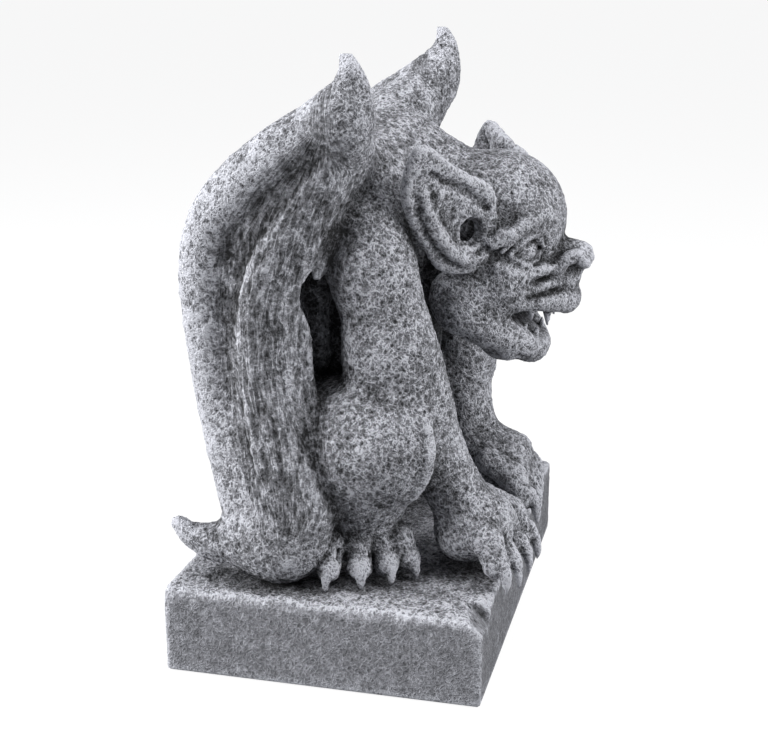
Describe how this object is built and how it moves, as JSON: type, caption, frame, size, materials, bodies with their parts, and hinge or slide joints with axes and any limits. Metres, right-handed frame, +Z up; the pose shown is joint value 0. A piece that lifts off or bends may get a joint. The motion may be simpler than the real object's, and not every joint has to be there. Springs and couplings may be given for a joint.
{
  "type": "gargoyle statue",
  "caption": "Crouching winged gargoyle with a pig-like snout and pointed ears, cast in grey stone in one piece with its rectangular plinth.",
  "frame": {"origin": "centre of the plinth's underside, on the surface that the statue stands on", "axes": "+Z up, the creature faces -Y, its left side is +X"},
  "size_m": [0.29, 0.2439, 0.3805],
  "materials": {
    "cast_stone": "matte"
  },
  "bodies": {
    "root": {"gargoyle": "cast_stone"}
  },
  "joints": []
}
